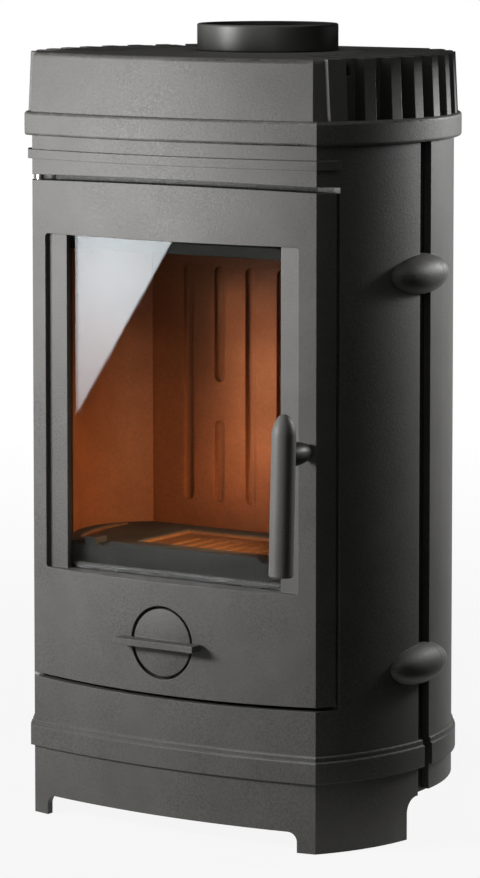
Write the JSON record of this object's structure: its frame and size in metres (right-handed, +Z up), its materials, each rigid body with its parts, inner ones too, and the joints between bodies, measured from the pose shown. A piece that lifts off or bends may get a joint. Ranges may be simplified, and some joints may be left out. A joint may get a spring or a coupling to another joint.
{
  "type": "wood stove",
  "caption": "Free-standing cast-iron wood stove: round body, bowed glazed door that swings, turning handle and air control, finned warm-air cap and round flue collar.",
  "frame": {"origin": "middle of the stove's box at floor level, which is also the axis of the round body", "axes": "+Z up, -Y out of the door, +X to the right of someone facing the door"},
  "size_m": [0.478, 0.3909, 0.838],
  "materials": {
    "painted_iron": "anthracite paint over fine sand-cast grain, matt",
    "collar_iron": "smooth dark paint, satin",
    "handle_iron": "smooth anthracite paint, satin",
    "bare_iron": "dark cast iron, matt",
    "fire_lining": "terracotta-coloured fire lining, matt",
    "door_glass": "clear heat-proof glass",
    "seal_fibre": "woven glass-fibre seal",
    "steel": "plain dark steel"
  },
  "bodies": {
    "stove_body": {"front_shell": "painted_iron", "rear_shell": "painted_iron", "shell_tie_studs": "steel", "top_cap": "painted_iron", "flue_collar": "collar_iron", "collar_gasket": "seal_fibre", "collar_bolts": "steel", "firebox_shell": "steel", "firebox_top": "steel", "ash_pit_floor": "steel", "hearth_plate": "bare_iron", "grate": "bare_iron", "ash_pan": "steel", "fireback": "fire_lining", "side_liner_left": "fire_lining", "side_liner_right": "fire_lining", "baffle": "fire_lining", "log_guard": "painted_iron", "hinge_pin_bottom": "steel", "hinge_pin_top": "steel", "hinge_washer": "steel", "latch_keeper": "steel"},
    "door": {"door_frame": "painted_iron", "door_rope_seal": "seal_fibre", "glass_seal": "seal_fibre", "door_glass": "door_glass", "glass_clips": "steel", "clip_screws": "steel"},
    "handle": {"handle_bar": "handle_iron", "handle_stem": "handle_iron", "latch_shaft": "steel", "latch_sleeve": "steel", "latch_tongue": "steel", "latch_nut": "steel"},
    "air_control": {"air_knob": "painted_iron", "air_spindle": "steel", "air_shutter": "steel", "spring_washer": "steel", "spindle_nut": "steel"}
  },
  "joints": [
    {"name": "door_hinge", "type": "hinge", "parent": "stove_body", "child": "door", "pos_m": [-0.17605, -0.12199, 0.413], "axis": [0, 0, -1], "range_deg": [0, 110]},
    {"name": "handle_turn", "type": "hinge", "parent": "door", "child": "handle", "pos_m": [0.16756, -0.15, 0.4136], "axis": [0, -1, 0], "range_deg": [0, 90]},
    {"name": "air_turn", "type": "hinge", "parent": "door", "child": "air_control", "pos_m": [0, -0.15, 0.203], "axis": [0, 1, 0], "range_deg": [0, 90]}
  ]
}
